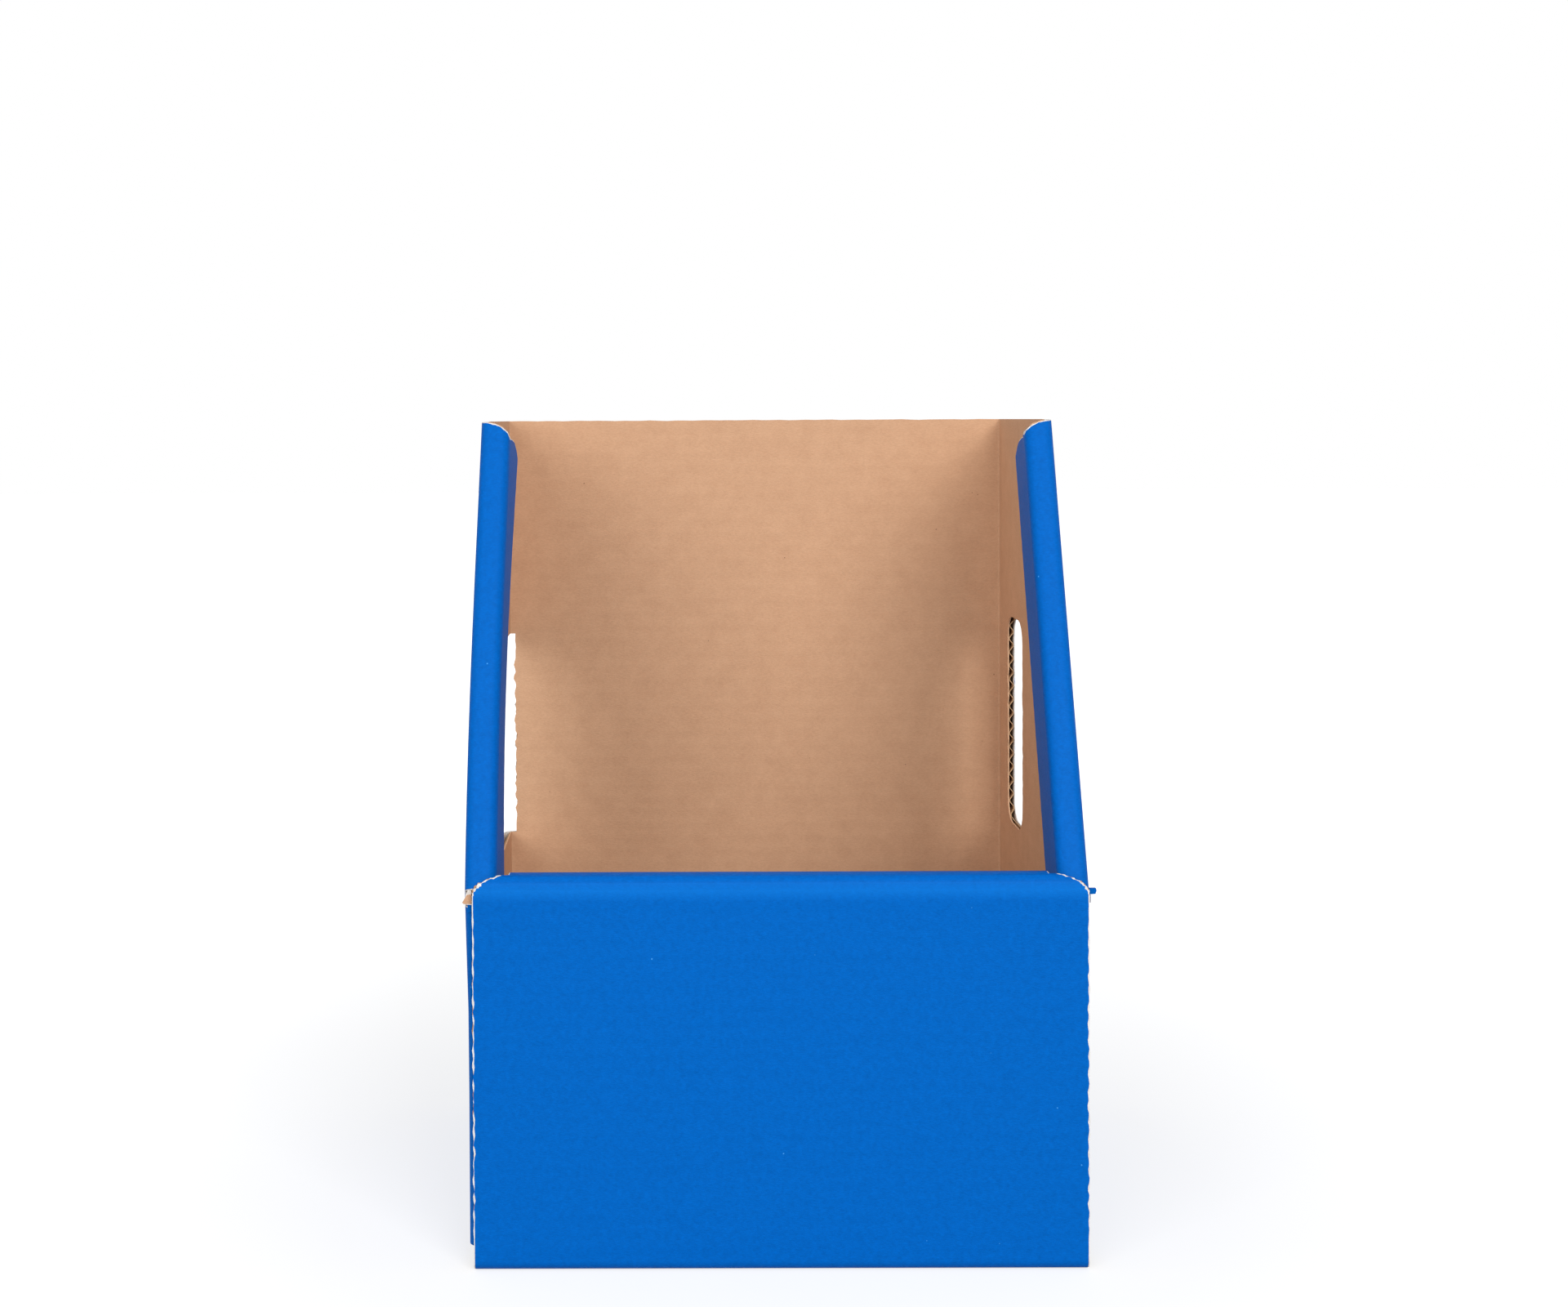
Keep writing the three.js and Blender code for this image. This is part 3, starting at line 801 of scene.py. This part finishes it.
KRAFT = paper_material(
    "kraft_liner", light=colour_of(220, 175, 138), dark=colour_of(197, 151, 116),
    speck=colour_of(140, 100, 70), roughness=0.8, cloud=220.0, contrast=0.7, tooth=0.4, ridges=0.4)


def dressed(name, parts, material):
    """Joins a layer's parts, brings them to metres, and dresses and seats the piece."""
    piece = join(parts, name)
    piece.data.materials.append(material)
    activate(piece)
    piece.scale = (0.001, 0.001, 0.001)
    bpy.ops.object.transform_apply(location=True, rotation=True, scale=True)
    bpy.ops.object.shade_smooth_by_angle(angle=math.radians(28))
    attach(piece, "root")
    return piece


printed = dressed("printed_face", layers["print"], BLUE)
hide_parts("folded_sheet")
dressed("white_liner", layers["white"], WHITE)
dressed("fluted_core", layers["core"], CORE)
dressed("kraft_liner", layers["kraft"], KRAFT)


# Floor, light and camera

def seen_white(tree, kind, strength_socket=None):
    """Plain white that a surface of the set shows to the camera and in reflections.

    Returns the white shader, of the kind named, and the mask of the rays that see it.
    """
    path = tree.nodes.new("ShaderNodeLightPath")
    seen = tree.nodes.new("ShaderNodeMath")
    seen.operation = "MAXIMUM"
    tree.links.new(path.outputs["Is Camera Ray"], seen.inputs[0])
    tree.links.new(path.outputs["Is Glossy Ray"], seen.inputs[1])
    clear = tree.nodes.new("ShaderNodeMath")
    clear.operation = "MAXIMUM"
    tree.links.new(seen.outputs[0], clear.inputs[0])
    tree.links.new(path.outputs["Is Transmission Ray"], clear.inputs[1])
    amount = tree.nodes.new("ShaderNodeMath")
    amount.operation = "MULTIPLY"
    tree.links.new(clear.outputs[0], amount.inputs[0])
    amount.inputs[1].default_value = 1.0
    if strength_socket:
        tree.links.new(strength_socket, amount.inputs[1])
    white = tree.nodes.new(kind)
    white.inputs["Color"].default_value = (1, 1, 1, 1)
    tree.links.new(amount.outputs[0], white.inputs["Strength"])
    return white, clear.outputs[0]


def floor_and_backdrop():
    """A pale floor, white to the camera away from the holder, that keeps its shadow."""
    deselect()
    bpy.ops.mesh.primitive_grid_add(x_subdivisions=2, y_subdivisions=2, size=8, location=(0, 0, 0))
    floor = bpy.context.object
    floor.name = "floor"
    material, tree, shader = new_material("pale_floor", 0.9)
    shader.inputs["Base Color"].default_value = (0.4, 0.405, 0.415, 1)
    shader.inputs["Specular IOR Level"].default_value = 0.0
    place = tree.nodes.new("ShaderNodeTexCoord")
    away = tree.nodes.new("ShaderNodeVectorMath")
    away.operation = "LENGTH"
    tree.links.new(place.outputs["Object"], away.inputs[0])
    rise = tree.nodes.new("ShaderNodeMapRange")
    rise.inputs["From Min"].default_value = 0.09
    rise.inputs["From Max"].default_value = 0.4
    rise.inputs["To Min"].default_value = 0.68
    rise.inputs["To Max"].default_value = 1.0
    tree.links.new(away.outputs["Value"], rise.inputs["Value"])
    white, _ = seen_white(tree, "ShaderNodeEmission", rise.outputs["Result"])
    both = tree.nodes.new("ShaderNodeAddShader")
    tree.links.new(shader.outputs["BSDF"], both.inputs[0])
    tree.links.new(white.outputs["Emission"], both.inputs[1])
    tree.links.new(both.outputs["Shader"], tree.nodes["Material Output"].inputs["Surface"])
    floor.data.materials.append(material)


def area_light(name, place, aim, size, power):
    """A square soft box at a place, aimed at a point."""
    data = bpy.data.lights.new(name, "AREA")
    data.size = size
    data.energy = power
    lamp = bpy.data.objects.new(name, data)
    bpy.context.collection.objects.link(lamp)
    lamp.location = place
    lamp.rotation_euler = (Vector(aim) - Vector(place)).to_track_quat("-Z", "Y").to_euler()


def world_light(strength):
    """An even white surround, at full white where the camera or a reflection sees it."""
    world = bpy.data.worlds.new("studio")
    bpy.context.scene.world = world
    world.use_nodes = True
    tree = world.node_tree
    even = tree.nodes["Background"]
    even.inputs["Color"].default_value = (1, 1, 1, 1)
    even.inputs["Strength"].default_value = strength
    white, seen = seen_white(tree, "ShaderNodeBackground")
    choice = tree.nodes.new("ShaderNodeMixShader")
    tree.links.new(seen, choice.inputs["Fac"])
    tree.links.new(even.outputs["Background"], choice.inputs[1])
    tree.links.new(white.outputs["Background"], choice.inputs[2])
    tree.links.new(choice.outputs["Shader"], tree.nodes["World Output"].inputs["Surface"])


MIDDLE = (0, 0, 0.08)
floor_and_backdrop()
world_light(0.42)
area_light("key", (0.5, -1.25, 0.75), MIDDLE, size=0.7, power=12)
area_light("fill", (-0.7, -1.15, 0.6), MIDDLE, size=0.8, power=8)

# The camera stands a little left of the middle, level with the back panel's top edge
camera_data = bpy.data.cameras.new("camera")
camera = bpy.data.objects.new("camera", camera_data)
bpy.context.collection.objects.link(camera)
camera_data.sensor_width = 36
camera_data.lens = 46.917
camera_data.shift_x = 0.087
camera_data.shift_y = -0.127
camera_data.clip_start = 0.01
place = Matrix.Translation((-0.02209, -0.0475 - 0.37804, 0.15899))
turn = Matrix.Rotation(math.radians(0.304), 4, "Z")
tilt = Matrix.Rotation(math.radians(90 - 1.0), 4, "X")
roll = Matrix.Rotation(math.radians(-0.258), 4, "Z")
camera.matrix_world = place @ turn @ tilt @ roll
bpy.context.scene.camera = camera
bpy.context.scene.view_settings.view_transform = "Standard"

deselect()
